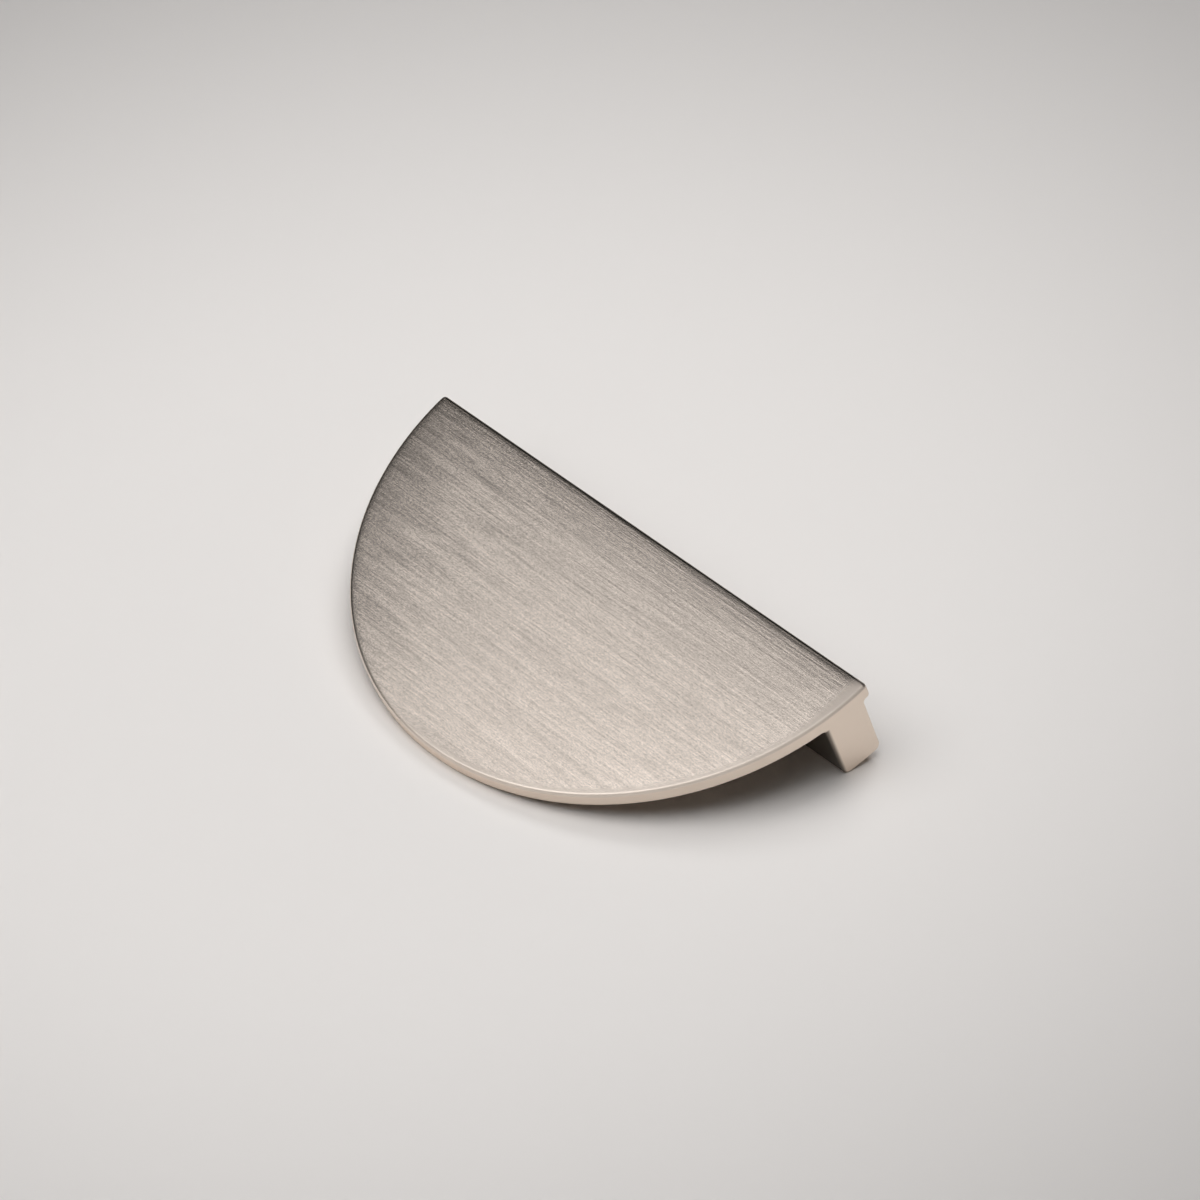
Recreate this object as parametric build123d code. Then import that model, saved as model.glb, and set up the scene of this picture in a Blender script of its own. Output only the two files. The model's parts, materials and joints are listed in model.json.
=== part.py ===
from build123d import *
import math
import os

# Half-moon cabinet pull: a half-disc plate and the mounting bar along its straight edge, in one piece.
# Millimetres. +Z points away from the cabinet, +X along the straight edge, -Y to the middle of the arc.
# The origin is the middle of the mounting face, halfway between the two screw holes.

# Length and L section
hole_spacing = 96.0
end_margin = 16.0  # from a screw hole to the tip of the half disc beside it
plate_thickness = 3.5
finger_room = 15.5  # from the cabinet's face to the back of the plate
bar_thickness = 10.0  # at the plate
bar_draft = 1.0  # degrees by which each long side of the bar leans in towards the cabinet
edge_overhang = 2.0  # how far the plate's straight edge stands past the bar

# Rounded edges and corners
front_edge_radius = 0.7  # round the front of the plate
back_edge_radius = 0.5  # under the rim and round both ends of the bar
tip_radius = 1.0  # where the arc meets the straight edge
root_radius = 0.8  # the inner corners between the bar and the plate
foot_radius = 1.6  # the long edges of the mounting face

# Blind tapped holes, bored to the outside of the thread
thread_diameter = 4.0
hole_depth = 11.0  # to the shoulder of the drill's point
drill_point_angle = 118.0
mouth_chamfer = 0.4  # wider than the hole by this much all round
mouth_angle = 90.0

disc_radius = hole_spacing / 2 + end_margin
projection = finger_room + plate_thickness
straight_edge_y = bar_thickness / 2 + edge_overhang
foot_half_width = bar_thickness / 2 - finger_room * math.tan(math.radians(bar_draft))

# A round is never more than its wall has room for.
half_plate = 0.45 * plate_thickness
half_overhang = 0.45 * edge_overhang
tip_round = min(tip_radius, half_overhang * 1.2)
root_round = min(root_radius, half_overhang)
front_round = min(front_edge_radius, half_plate, 0.9 * tip_round)
back_round = min(back_edge_radius, half_plate, 0.7 * root_round)
mouth_radius = thread_diameter / 2 + mouth_chamfer
foot_round = min(foot_radius, foot_half_width - mouth_radius)

stock_margin = 1.0  # the L section is this much larger than the half disc that it is cut to
same_place = 0.01  # points closer than this are one


def round_corner(face, corner, radius):
    """The face with its corner nearest to the given point rounded."""
    nearest = face.vertices().sort_by_distance((*corner, 0))[0]
    return fillet(nearest, radius)


def l_section():
    """The plate with the drafted bar under it, as (y, z) seen along the straight edge."""
    far_y = straight_edge_y - disc_radius - stock_margin
    near_y = straight_edge_y + stock_margin
    back_root = (bar_thickness / 2, finger_room)
    back_foot = (foot_half_width, 0)
    front_foot = (-foot_half_width, 0)
    front_root = (-bar_thickness / 2, finger_room)
    outline = Polyline(
        (far_y, projection),
        (near_y, projection),
        (near_y, finger_room),
        back_root,
        back_foot,
        front_foot,
        front_root,
        (far_y, finger_room),
        close=True,
    )
    face = make_face(outline)
    for root in (back_root, front_root):
        face = round_corner(face, root, root_round)
    for foot in (back_foot, front_foot):
        face = round_corner(face, foot, foot_round)
    return face


def half_disc():
    """The half disc in plan, with both tips rounded."""
    block = Rectangle(2 * disc_radius, disc_radius, align=(Align.CENTER, Align.MAX))
    half = Circle(disc_radius) & block
    half = fillet(half.vertices(), tip_round)
    return Pos(0, straight_edge_y) * half


def rim_edges(body, plan):
    """The edges that follow the half disc's outline: round the front, under the rim, round the bar's ends."""
    rim = plan.face().outer_wire()

    def on_rim(edge):
        middle = edge @ 0.5
        return rim.distance_to(Vector(middle.X, middle.Y, 0)) < same_place

    edges = body.edges() - body.edges().filter_by(Axis.Z)
    return edges.filter_by(on_rim)


def behind(edges):
    """Those of the edges that lie behind the middle of the plate."""
    middle = projection - plate_thickness / 2
    return edges.filter_by(lambda edge: (edge @ 0.5).Z < middle)


def screw_hole():
    """A blind hole opening at the mounting face, with a countersunk mouth and a drilled point."""
    radius = thread_diameter / 2
    mouth_depth = mouth_chamfer / math.tan(math.radians(mouth_angle / 2))
    point_depth = radius / math.tan(math.radians(drill_point_angle / 2))
    profile = Polyline(
        (0, 0),
        (mouth_radius, 0),
        (radius, mouth_depth),
        (radius, hole_depth),
        (0, hole_depth + point_depth),
        close=True,
    )
    return revolve(make_face(Plane.XZ * profile), Axis.Z)


def pull():
    """The L section cut to the half disc, so the bar's ends follow the arc, then rounded and drilled."""
    plan = half_disc()
    stock = extrude(Plane.YZ * l_section(), disc_radius + stock_margin, both=True)
    body = stock & extrude(plan, projection)
    body = fillet(behind(rim_edges(body, plan)), back_round)
    front_edges = rim_edges(body, plan) - behind(rim_edges(body, plan))
    body = fillet(front_edges, front_round)
    for x in (-hole_spacing / 2, hole_spacing / 2):
        body -= Pos(x, 0) * screw_hole()
    return body


os.makedirs("parts", exist_ok=True)
export_step(pull(), "parts/pull.step")
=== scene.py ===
import json
import math

import bmesh
import bpy
from mathutils import Matrix, Vector


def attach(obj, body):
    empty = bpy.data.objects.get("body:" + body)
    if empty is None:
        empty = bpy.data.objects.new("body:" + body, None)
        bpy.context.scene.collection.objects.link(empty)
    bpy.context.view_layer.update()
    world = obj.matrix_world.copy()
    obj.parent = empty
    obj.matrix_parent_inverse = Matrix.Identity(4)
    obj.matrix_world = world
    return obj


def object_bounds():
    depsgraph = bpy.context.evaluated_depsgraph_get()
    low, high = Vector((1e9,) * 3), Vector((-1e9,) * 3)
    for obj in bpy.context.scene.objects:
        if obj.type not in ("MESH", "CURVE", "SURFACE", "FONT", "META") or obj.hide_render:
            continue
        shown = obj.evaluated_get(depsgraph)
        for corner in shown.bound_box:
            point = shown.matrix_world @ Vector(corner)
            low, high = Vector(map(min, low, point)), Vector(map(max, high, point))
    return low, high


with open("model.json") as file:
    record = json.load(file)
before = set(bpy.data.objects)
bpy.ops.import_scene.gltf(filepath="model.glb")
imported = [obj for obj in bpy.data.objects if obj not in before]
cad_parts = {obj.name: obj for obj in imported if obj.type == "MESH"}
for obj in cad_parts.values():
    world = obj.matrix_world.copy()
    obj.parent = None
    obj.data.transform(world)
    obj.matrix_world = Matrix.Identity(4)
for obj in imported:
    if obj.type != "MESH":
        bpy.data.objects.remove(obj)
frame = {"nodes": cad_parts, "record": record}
cad_low, cad_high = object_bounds()

bl_info = {
    "name": "Half-moon cabinet pull",
    "version": (1, 0, 0),
    "blender": (4, 5, 0),
    "location": "3D View > Sidebar > Pull",
    "description": "Finishes the half-moon pull in brushed nickel and sets it in a studio",
    "category": "Object",
}

MM = 0.001
FRONT_Z = cad_high.z
EDGE_Y = cad_high.y  # the straight edge, which is also the arc's diameter
DISC_RADIUS = cad_high.y - cad_low.y
SCREW_HOLES = next(m for m in frame["record"]["mounts"] if m["name"] == "screw_holes")["dims"]


class PullFinish(bpy.types.PropertyGroup):
    """Colour, gloss and brushing of the nickel."""

    nickel: bpy.props.FloatVectorProperty(
        name="Nickel", description="Colour of the plated metal",
        default=(0.785, 0.695, 0.620), subtype="COLOR", min=0, max=1,
    )
    satin_roughness: bpy.props.FloatProperty(
        name="Satin roughness", description="Roughness of the rim and the bar",
        default=0.42, min=0, max=1, subtype="FACTOR",
    )
    face_roughness: bpy.props.FloatProperty(
        name="Face roughness", description="Roughness of the brushed face",
        default=0.21, min=0, max=1, subtype="FACTOR",
    )
    streak_contrast: bpy.props.FloatProperty(
        name="Streak contrast", description="How much the brush marks differ in shade",
        default=0.37, min=0, max=1, subtype="FACTOR",
    )


class FrontRoundSizes(bpy.types.PropertyGroup):
    """The round between the front of the plate and its rim."""

    radius: bpy.props.FloatProperty(
        name="Radius", description="Radius of the front round",
        default=0.7 * MM, unit="LENGTH",
    )
    proud: bpy.props.FloatProperty(
        name="Proud", description="How far the fine round stands over the plate's own",
        default=0.003 * MM, unit="LENGTH",
    )
    clear_of_tip: bpy.props.FloatProperty(
        name="Clear of the tip",
        description="Angle left free at each tip, where the plate turns its corner",
        default=math.radians(1.2), subtype="ANGLE",
    )


class ThreadSizes(bpy.types.PropertyGroup):
    """The metric thread in each screw hole."""

    pitch: bpy.props.FloatProperty(
        name="Pitch", description="Rise of the thread in one turn",
        default=0.7 * MM, unit="LENGTH",
    )
    crest_radius: bpy.props.FloatProperty(
        name="Crest radius", description="How near the ridge comes to the hole's axis",
        default=1.621 * MM, unit="LENGTH",
    )
    first_turn: bpy.props.FloatProperty(
        name="First turn", description="Height of the thread's start over the mounting face",
        default=0.75 * MM, unit="LENGTH",
    )
    last_turn: bpy.props.FloatProperty(
        name="Last turn", description="Height of the thread's end over the mounting face",
        default=10.0 * MM, unit="LENGTH",
    )


class StudioSettings(bpy.types.PropertyGroup):
    """The camera and the floor."""

    azimuth: bpy.props.FloatProperty(
        name="Azimuth", description="Camera's turn round the pull, from -Y towards +X",
        default=math.radians(65.40), subtype="ANGLE",
    )
    elevation: bpy.props.FloatProperty(
        name="Elevation", description="Camera's height over the plate's face",
        default=math.radians(50.28), subtype="ANGLE",
    )
    roll: bpy.props.FloatProperty(
        name="Roll", description="Camera's turn about its own axis",
        default=math.radians(-24.32), subtype="ANGLE",
    )
    distance: bpy.props.FloatProperty(
        name="Distance", description="From the camera to the plate's face",
        default=1.4957, unit="LENGTH",
    )
    lens: bpy.props.FloatProperty(
        name="Focal length", description="Focal length for a 36 mm sensor",
        default=221.62, subtype="DISTANCE_CAMERA",
    )
    floor_colour: bpy.props.FloatVectorProperty(
        name="Floor", description="Colour of the pale floor",
        default=(0.87, 0.84, 0.817), subtype="COLOR", min=0, max=1,
    )
    background: bpy.props.FloatProperty(
        name="Background", description="Brightness of the pale background",
        default=0.62, min=0, max=1, subtype="FACTOR",
    )


class Wire:
    """One socket of a node tree, so that shader maths reads as Python."""

    def __init__(self, tree, socket=None):
        self.tree = tree
        self.socket = socket

    def node(self, kind, settings=None, sockets=None, output=0):
        """Adds a node: its type, its settings, then the values or links of its sockets."""
        made = self.tree.nodes.new(kind)
        for name, value in (settings or {}).items():
            setattr(made, name, value)
        for name, value in (sockets or {}).items():
            target = made.inputs[name]
            if isinstance(value, Wire):
                self.tree.links.new(value.socket, target)
            else:
                target.default_value = value
        return Wire(self.tree, made.outputs[output] if len(made.outputs) else None)

    def maths(self, operation, first, second=0.0):
        return self.node("ShaderNodeMath", {"operation": operation}, {0: first, 1: second})

    def __add__(self, other):
        return self.maths("ADD", self, other)

    def __radd__(self, other):
        return self.maths("ADD", other, self)

    def __sub__(self, other):
        return self.maths("SUBTRACT", self, other)

    def __rsub__(self, other):
        return self.maths("SUBTRACT", other, self)

    def __mul__(self, other):
        return self.maths("MULTIPLY", self, other)

    def __rmul__(self, other):
        return self.maths("MULTIPLY", other, self)

    def __neg__(self):
        return self * -1

    def smooth(self, start, end):
        """0 before start, 1 after end, and a smooth rise between them."""
        return self.node(
            "ShaderNodeMapRange", {"interpolation_type": "SMOOTHSTEP"},
            {"Value": self, "From Min": start, "From Max": end},
        )

    def fade(self, length):
        """1 at zero, falling off by a factor e over each length."""
        return self.maths("EXPONENT", self * (-1 / length))

    def mix(self, factor, first, second, blend_type="MIX"):
        """A colour between two others, through the Mix node's colour sockets."""
        return self.node(
            "ShaderNodeMix", {"data_type": "RGBA", "blend_type": blend_type},
            {"Factor": factor, 6: first, 7: second}, output=2,
        )

    def distance(self, first, second):
        """How far two places are from each other."""
        return self.node(
            "ShaderNodeVectorMath", {"operation": "DISTANCE"}, {0: first, 1: second}, output="Value",
        )

    def noise(self, place, size, detail=2.0):
        """Soft even noise, from 0 to 1, with lumps of about the given size."""
        return self.node(
            "ShaderNodeTexNoise", None, {"Vector": place, "Scale": 1 / size, "Detail": detail},
        )

    def marks(self, place, length, width, detail, seed):
        """Noise drawn out along X, from -1 to 1: how long and how wide its marks are."""
        drawn = self.node(
            "ShaderNodeMapping", {"vector_type": "POINT"},
            {"Vector": place, "Location": (seed, seed, 0), "Scale": (1 / length, 1 / width, 1 / width)},
        )
        return self.noise(drawn, 1.0, detail) * 2 - 1


def new_tree(name):
    """An empty material and the wire that starts its nodes."""
    material = bpy.data.materials.new(name)
    material.use_nodes = True
    material.node_tree.nodes.clear()
    return material, Wire(material.node_tree)


class Surface:
    """A point of the pull: where it lies, how far from the plate's edges, and on which part."""

    def __init__(self, wire):
        self.place = wire.node("ShaderNodeTexCoord", output="Object")
        self.x, self.y, self.z = (
            wire.node("ShaderNodeSeparateXYZ", None, {"Vector": self.place}, output=axis) for axis in "XYZ"
        )
        plan = wire.node("ShaderNodeCombineXYZ", None, {"X": self.x, "Y": self.y})
        self.from_arc = DISC_RADIUS - wire.distance(plan, (0, EDGE_Y, 0))
        self.from_edge = EDGE_Y - self.y
        self.from_rim = wire.maths("MINIMUM", self.from_arc, self.from_edge)
        self.left = (-self.x).smooth(5 * MM, 50 * MM)  # rises towards the left-hand tip
        self.front = self.z.smooth(FRONT_Z - 0.75 * MM, FRONT_Z - 0.45 * MM)  # the face with its round
        self.face = self.from_rim.smooth(0.4 * MM, 1.1 * MM)  # inside the round

    def brushed(self, wire):
        """1 where the front is brushed. On the right the arc keeps a border of plain satin."""
        top = self.z.smooth(FRONT_Z - 0.12 * MM, FRONT_Z - 0.01 * MM)
        right = self.x.smooth(-25 * MM, 15 * MM) * wire.maths(
            "MAXIMUM", self.from_edge.smooth(0.5 * MM, 2.0 * MM), self.x.smooth(59.0 * MM, 62.0 * MM)
        )
        inward = self.from_arc.smooth(0.3 * MM, 2.4 * MM) * (1 - self.x.smooth(59.5 * MM, 63.0 * MM))
        return self.front * (1 - right * (1 - top * inward))

    def painted_gap_shade(self):
        """Painted shade: 1 in the corner between the bar and the back of the plate, fading along the
        plate.
        """
        forward = -self.y
        near_bar = forward.smooth(3.9 * MM, 4.7 * MM) * (1 - forward.smooth(5 * MM, 30 * MM))
        return near_bar * (FRONT_Z - self.z).smooth(3.3 * MM, 3.9 * MM)


def nickel(finish):
    """Satin nickel, brushed along X on the front of the plate and softened towards its edges."""
    material, wire = new_tree("brushed nickel")
    at = Surface(wire)
    brushed = at.brushed(wire)

    # The marks of the brush, finest first
    long_hairs = wire.marks(at.place, 5.0 * MM, 0.22 * MM, detail=2.0, seed=7.3)
    short_hairs = wire.marks(at.place, 0.5 * MM, 0.22 * MM, detail=1.0, seed=0.0)
    hairs = long_hairs * 0.55 + short_hairs * 0.75
    strands = wire.marks(at.place, 20 * MM, 0.60 * MM, detail=1.0, seed=3.1)
    bands = wire.marks(at.place, 60 * MM, 3.0 * MM, detail=2.0, seed=5.7)
    patches = wire.marks(at.place, 16 * MM, 3.0 * MM, detail=2.0, seed=9.1)

    # Heights in millimetres. The brush wears the face down towards its edges and bites deeper there.
    worn = at.from_rim.fade(5.5 * MM) * -0.095 + at.from_rim.fade(0.5 * MM) * -0.100
    bite = 1 + at.from_rim.fade(1.6 * MM) * (1.5 + at.left * 1.5)
    cuts = (hairs * 0.0040 + strands * 0.0060) * bite + bands * 0.008
    satin_grain = wire.noise(at.place, 0.6 * MM) * 0.002
    height = worn + cuts * brushed * at.face + satin_grain * (1 - brushed)
    bump = wire.node("ShaderNodeBump", None, {"Strength": 1.0, "Distance": MM, "Height": height})

    # Shades, from 0 for the darkest metal to 1 for the lightest. The brushing is coarser on the left.
    streak = hairs * 1.2 + strands * 0.40 + bands * 0.28 + patches * at.left * 0.5
    streak = streak * (0.9 + at.left * 0.7) * (0.2 + at.face * 0.8)
    mottle = wire.noise(at.place, 5 * MM) * 2 - 1
    # Painted shade: the metal is darker along the straight edge, streaked with the brush marks
    edge_painted_shade = at.from_edge.fade(1.8 * MM) * (0.30 + strands * 0.6) * brushed
    # Painted shade: a dark line along the round of the arc on the left
    painted_rim_shade = at.from_arc.fade(0.12 * MM) * at.front * at.left
    # Painted shade: the plain satin border along the arc on the right is darkened, dimming its highlight
    painted_border_shade = at.front - brushed
    shade = 0.77 + streak * brushed * finish.streak_contrast + mottle * 0.02 + (1 - at.front) * 0.045
    # Painted shade darkens the straight edge, the round on the left, the gap's corner and the satin border
    shade = shade - edge_painted_shade - painted_rim_shade * 0.3 - at.painted_gap_shade() * 0.69 - painted_border_shade * 0.075
    darkest = (*(channel * 0.10 for channel in finish.nickel), 1)
    lightest = (*(min(channel * 1.27, 1) for channel in finish.nickel), 1)
    colour = wire.mix(shade, darkest, lightest)
    colour = wire.mix(1 - at.front, colour, (1, 0.985, 0.955, 1), "MULTIPLY")  # warmer behind the front

    gloss = finish.face_roughness - streak * 0.02
    roughness = finish.satin_roughness + (gloss - finish.satin_roughness) * brushed
    shader = wire.node(
        "ShaderNodeBsdfPrincipled", None,
        {"Base Color": colour, "Metallic": 1.0, "Roughness": roughness, "Normal": bump},
    )
    wire.node("ShaderNodeOutputMaterial", None, {"Surface": shader})
    return material


def add_piece(name, shape):
    """Makes a closed shape a piece of the pull, in its metal."""
    bmesh.ops.remove_doubles(shape, verts=shape.verts, dist=0.001 * MM)
    bmesh.ops.recalc_face_normals(shape, faces=shape.faces)
    mesh = bpy.data.meshes.new(name)
    shape.to_mesh(mesh)
    shape.free()
    piece = bpy.data.objects.new(name, mesh)
    bpy.context.scene.collection.objects.link(piece)
    mesh.materials.append(frame["nodes"]["pull"].material_slots[0].material)
    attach(piece, "root")
    return piece


def add_front_round(sizes):
    """The front round in fine steps along the arc: its section spun round the half disc's centre."""
    steps, section_steps = 300, 16  # along the arc, and across the round
    lip = 0.1 * MM  # of the face and of the rim, so that the round runs into them smoothly
    radius = sizes.radius + sizes.proud
    centre_r, centre_z = DISC_RADIUS - sizes.radius, FRONT_Z - sizes.radius
    inner_r, inner_z = centre_r - lip, centre_z - lip
    angles = (math.pi / 2 * step / section_steps for step in range(section_steps + 1))
    curve = [(centre_r + radius * math.sin(a), centre_z + radius * math.cos(a)) for a in angles]
    profile = [(inner_r, curve[0][1]), *curve, (curve[-1][0], inner_z), (inner_r, inner_z)]

    start = sizes.clear_of_tip
    shape = bmesh.new()
    corners = [shape.verts.new((r * math.cos(start), EDGE_Y - r * math.sin(start), z)) for r, z in profile]
    section = shape.faces.new(corners)
    bmesh.ops.spin(
        shape, geom=[section, *section.edges, *section.verts], cent=(0, EDGE_Y, 0), axis=(0, 0, -1),
        angle=math.pi - 2 * start, steps=steps, use_merge=False,
    )
    piece = add_piece("front_round", shape)
    piece.data.shade_smooth()
    piece.data.set_sharp_from_angle(angle=math.radians(30))


def add_thread(name, x, sizes):
    """A thread's ridge winding up a screw hole: its section spun round the hole's axis."""
    steps = 32  # in one turn
    hole_radius = SCREW_HOLES["hole_r_mm"] * MM + 0.01 * MM  # just into the hole's wall
    root, crest = 0.306 * MM, 0.0875 * MM  # half the ridge's width at the wall and at its crest
    profile = (
        (hole_radius, -root),
        (sizes.crest_radius, -crest),
        (sizes.crest_radius, crest),
        (hole_radius, root),
    )
    turns = (sizes.last_turn - sizes.first_turn) / sizes.pitch
    count = round(turns * steps)
    shape = bmesh.new()
    corners = [shape.verts.new((x + r, 0, sizes.first_turn + z)) for r, z in profile]
    section = shape.faces.new(corners)
    bmesh.ops.spin(
        shape, geom=[section, *section.edges, *section.verts], cent=(x, 0, 0), axis=(0, 0, 1),
        dvec=(0, 0, sizes.pitch / steps), angle=2 * math.pi * count / steps, steps=count, use_merge=False,
    )
    add_piece(name, shape)


def resting_tilt():
    """The angle at which the pull lies on its rim and its bar's long edge, and the floor's height."""
    points = [v.co for v in frame["nodes"]["pull"].data.vertices]
    bar = [p for p in points if p.y > -10 * MM]
    rim = [p for p in points if p.y < -30 * MM]
    low, high = 0.0, math.radians(40)
    for _ in range(40):  # each pass halves the range that the angle is in
        tilt = (low + high) / 2
        up = Vector((0, math.sin(tilt), math.cos(tilt)))
        bar_height = min(up.dot(p) for p in bar)
        if bar_height < min(up.dot(p) for p in rim):
            low = tilt
        else:
            high = tilt
    return tilt, bar_height


def direction(azimuth, elevation):
    """Unit vector: azimuth from -Y towards +X, elevation over the plate's face."""
    level = math.cos(elevation)
    return Vector((math.sin(azimuth) * level, -math.cos(azimuth) * level, math.sin(elevation)))


def seen_directly(wire):
    """1 for what the camera sees, straight or in metal or glass, and 0 for what lights the pull."""
    camera, glossy, through = (
        wire.node("ShaderNodeLightPath", output=name)
        for name in ("Is Camera Ray", "Is Glossy Ray", "Is Transmission Ray")
    )
    return wire.maths("MAXIMUM", camera, wire.maths("MAXIMUM", glossy, through))


PALE = (1, 0.99, 0.98, 1)  # the tint of the background
WARM = (1, 0.975, 0.945, 1)  # the tint of what the metal mirrors of it
FLOOR_PAINTED_SHADE = (0.27, 0.26, 0.255, 1)  # the floor's colour away from the pull, darkened as painted shade
PAINTED_LIGHT_MIDDLE = (-0.025, -0.040, 0)  # the middle of the floor's painted pool of light, where the floor is palest
BRIGHT_SIDE = (0.50, -0.80, 0.33)  # towards the side of the background that the metal mirrors most


def floor_surface(studio):
    """A matt pale floor, painted a little darker away from the pull as a pool of light, that is clear from
    below.
    """
    material, wire = new_tree("pale floor")
    place = wire.node("ShaderNodeTexCoord", output="Object")
    away = wire.distance(place, PAINTED_LIGHT_MIDDLE)
    # Painted light: the floor's colour is palest round the pull and darker away from it
    painted_light_tone = wire.mix(away.smooth(0.08, 0.43), (*studio.floor_colour, 1), FLOOR_PAINTED_SHADE)
    matt = wire.node("ShaderNodeBsdfDiffuse", None, {"Color": painted_light_tone})
    glow = wire.node("ShaderNodeEmission", None, {"Color": PALE, "Strength": studio.background})
    far = away.smooth(0.3, 1.2) * seen_directly(wire)
    lit = wire.node("ShaderNodeMixShader", None, {0: far, 1: matt, 2: glow})
    clear = wire.node("ShaderNodeBsdfTransparent")
    below = wire.node("ShaderNodeNewGeometry", output="Backfacing")
    both = wire.node("ShaderNodeMixShader", None, {0: below, 1: lit, 2: clear})
    wire.node("ShaderNodeOutputMaterial", None, {"Surface": both})
    return material


def studio_world(studio):
    """A pale background. The metal mirrors it dimly on the left, behind and overhead."""
    world = bpy.data.worlds.new("studio")
    world.use_nodes = True
    world.cycles.sampling_method = "NONE"
    world.node_tree.nodes.clear()
    wire = Wire(world.node_tree)
    towards = wire.node("ShaderNodeTexCoord", output="Generated")
    side = wire.node(
        "ShaderNodeVectorMath", {"operation": "DOT_PRODUCT"}, {0: towards, 1: BRIGHT_SIDE}, output="Value",
    )
    upward = wire.node("ShaderNodeSeparateXYZ", None, {"Vector": towards}, output="Z")
    overhead = upward.smooth(0.84, 0.98)
    mirrored = side.smooth(-0.27, 0.6) * (1 - overhead) * 0.6 + 0.02
    camera, glossy = (
        wire.node("ShaderNodeLightPath", output=name) for name in ("Is Camera Ray", "Is Glossy Ray")
    )
    # Its brightness as the metal mirrors it, as the camera sees it, and as it lights the rest
    level = mirrored * glossy + camera * studio.background + (1 - seen_directly(wire)) * 0.015
    colour = wire.mix(camera, WARM, PALE)
    light = wire.node("ShaderNodeBackground", None, {"Color": colour, "Strength": level})
    wire.node("ShaderNodeOutputWorld", None, {"Surface": light})
    return world


# Soft boxes over the floor, in metres: name, x, y, height, turn in degrees, width, depth, brightness, and
# whether the metal mirrors it. The others only light the floor.
SOFT_BOXES = (
    ("wide", -0.059, -0.215, 0.65, -3, 0.966, 0.50, 0.90, True),
    ("key", -0.22, -0.45, 0.65, 45, 0.60, 0.60, 1.90, True),
    ("top", 0.05, -0.05, 0.65, 0, 0.45, 0.45, 2.35, False),
    ("far", -0.15, 0.50, 0.65, 0, 0.50, 0.40, 4.2, False),
)


def add_soft_box(floor_turn, name, x, y, height, turn, width, depth, brightness, mirrored):
    """A soft rectangular lamp that looks down at the floor and that the camera doesn't see."""
    lamp = bpy.data.lights.new(name, "AREA")
    lamp.shape = "RECTANGLE"
    lamp.size = width
    lamp.size_y = depth
    lamp.energy = brightness * math.pi * width * depth
    holder = bpy.data.objects.new(name, lamp)
    holder.visible_camera = False
    holder.visible_glossy = mirrored
    spin = Matrix.Rotation(math.radians(turn), 4, "Z")
    holder.matrix_world = floor_turn @ Matrix.Translation((x, y, height)) @ spin
    bpy.context.scene.collection.objects.link(holder)


def add_floor(studio, floor_turn, height):
    """The floor that the pull lies on."""
    half_width = 4.0
    place = floor_turn @ Matrix.Translation((0, 0, height))
    shape = bmesh.new()
    bmesh.ops.create_grid(shape, x_segments=1, y_segments=1, size=half_width)
    bmesh.ops.transform(shape, matrix=place, verts=shape.verts)
    mesh = bpy.data.meshes.new("floor")
    shape.to_mesh(mesh)
    shape.free()
    floor = bpy.data.objects.new("floor", mesh)
    bpy.context.scene.collection.objects.link(floor)
    mesh.materials.append(floor_surface(studio))


def add_camera(studio):
    """The camera, at the photo's viewing angle."""
    camera = bpy.data.cameras.new("camera")
    camera.sensor_width = 36
    camera.lens = studio.lens
    holder = bpy.data.objects.new("camera", camera)
    bpy.context.scene.collection.objects.link(holder)
    back = direction(studio.azimuth, studio.elevation)
    aim = Vector((3.0 * MM, -10.6 * MM, FRONT_Z))  # the point of the face in the middle of the picture
    look = (-back).to_track_quat("-Z", "Y").to_matrix().to_4x4()
    roll = Matrix.Rotation(studio.roll, 4, "Z")
    holder.matrix_world = Matrix.Translation(aim + back * studio.distance) @ look @ roll
    bpy.context.scene.camera = holder


class PULL_OT_finish_metal(bpy.types.Operator):
    """Gives the pull its brushed nickel."""

    bl_idname = "pull.finish_metal"
    bl_label = "Finish the metal"

    def execute(self, context):
        frame["nodes"]["pull"].material_slots[0].material = nickel(context.scene.pull_finish)
        return {"FINISHED"}


class PULL_OT_round_front(bpy.types.Operator):
    """Rounds the front of the plate along the arc in fine steps."""

    bl_idname = "pull.round_front"
    bl_label = "Round the front"

    def execute(self, context):
        add_front_round(context.scene.pull_front_round)
        return {"FINISHED"}


class PULL_OT_cut_threads(bpy.types.Operator):
    """Winds a thread up each of the two screw holes."""

    bl_idname = "pull.cut_threads"
    bl_label = "Cut the threads"

    def execute(self, context):
        half = SCREW_HOLES["spacing_x_mm"] / 2 * MM
        add_thread("left_thread", -half, context.scene.pull_thread)
        add_thread("right_thread", half, context.scene.pull_thread)
        return {"FINISHED"}


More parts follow.
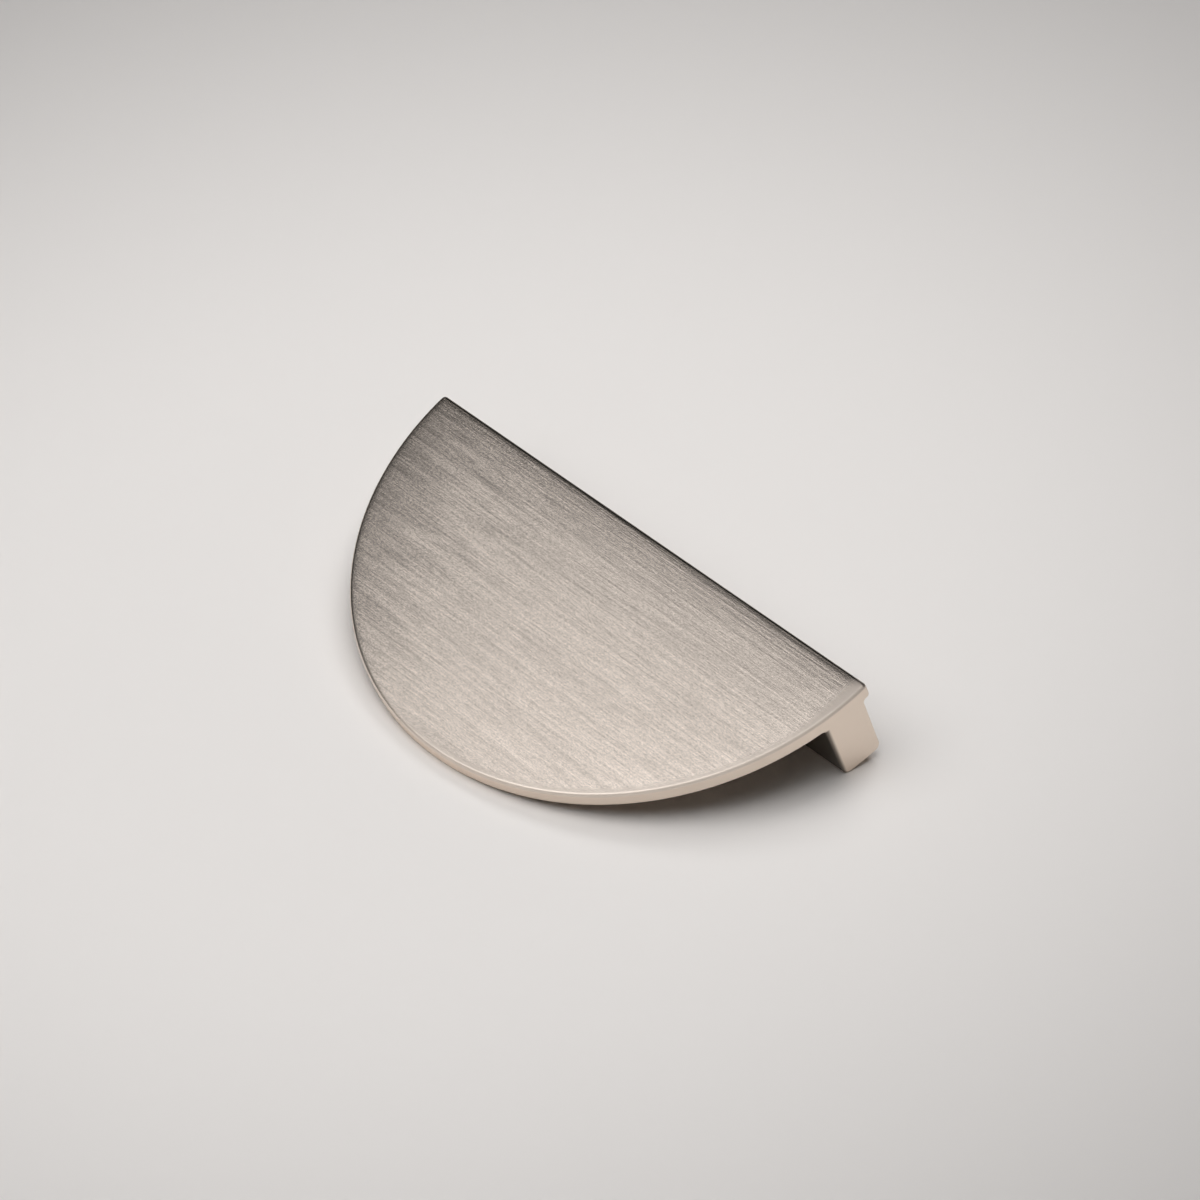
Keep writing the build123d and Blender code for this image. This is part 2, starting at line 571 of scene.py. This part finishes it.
class PULL_OT_set_studio(bpy.types.Operator):
    """Sets the floor, the background, the lamps and the camera."""

    bl_idname = "pull.set_studio"
    bl_label = "Set the studio"

    def execute(self, context):
        studio = context.scene.pull_studio
        context.scene.view_settings.view_transform = "Standard"
        tilt, height = resting_tilt()
        floor_turn = Matrix.Rotation(-tilt, 4, "X")
        add_floor(studio, floor_turn, height)
        context.scene.world = studio_world(studio)
        for box in SOFT_BOXES:
            add_soft_box(floor_turn, *box)
        add_camera(studio)
        return {"FINISHED"}


class PULL_PT_sidebar(bpy.types.Panel):
    """The steps that make the pull, and their settings."""

    bl_idname = "PULL_PT_sidebar"
    bl_label = "Half-moon pull"
    bl_space_type = "VIEW_3D"
    bl_region_type = "UI"
    bl_category = "Pull"

    def draw(self, context):
        for step, settings in STEPS:
            box = self.layout.box()
            box.operator(step.bl_idname)
            group = getattr(context.scene, settings)
            for name in group.__annotations__:
                box.prop(group, name)


STEPS = (
    (PULL_OT_finish_metal, "pull_finish"),
    (PULL_OT_round_front, "pull_front_round"),
    (PULL_OT_cut_threads, "pull_thread"),
    (PULL_OT_set_studio, "pull_studio"),
)
CLASSES = (
    PullFinish, FrontRoundSizes, ThreadSizes, StudioSettings,
    PULL_OT_finish_metal, PULL_OT_round_front, PULL_OT_cut_threads, PULL_OT_set_studio, PULL_PT_sidebar,
)


def register():
    for kind in CLASSES:
        bpy.utils.register_class(kind)
    bpy.types.Scene.pull_finish = bpy.props.PointerProperty(type=PullFinish)
    bpy.types.Scene.pull_front_round = bpy.props.PointerProperty(type=FrontRoundSizes)
    bpy.types.Scene.pull_thread = bpy.props.PointerProperty(type=ThreadSizes)
    bpy.types.Scene.pull_studio = bpy.props.PointerProperty(type=StudioSettings)


def unregister():
    del bpy.types.Scene.pull_studio
    del bpy.types.Scene.pull_thread
    del bpy.types.Scene.pull_front_round
    del bpy.types.Scene.pull_finish
    for kind in reversed(CLASSES):
        bpy.utils.unregister_class(kind)


def main():
    register()
    bpy.ops.pull.finish_metal()
    bpy.ops.pull.round_front()
    bpy.ops.pull.cut_threads()
    bpy.ops.pull.set_studio()


if __name__ == "__main__":
    main()
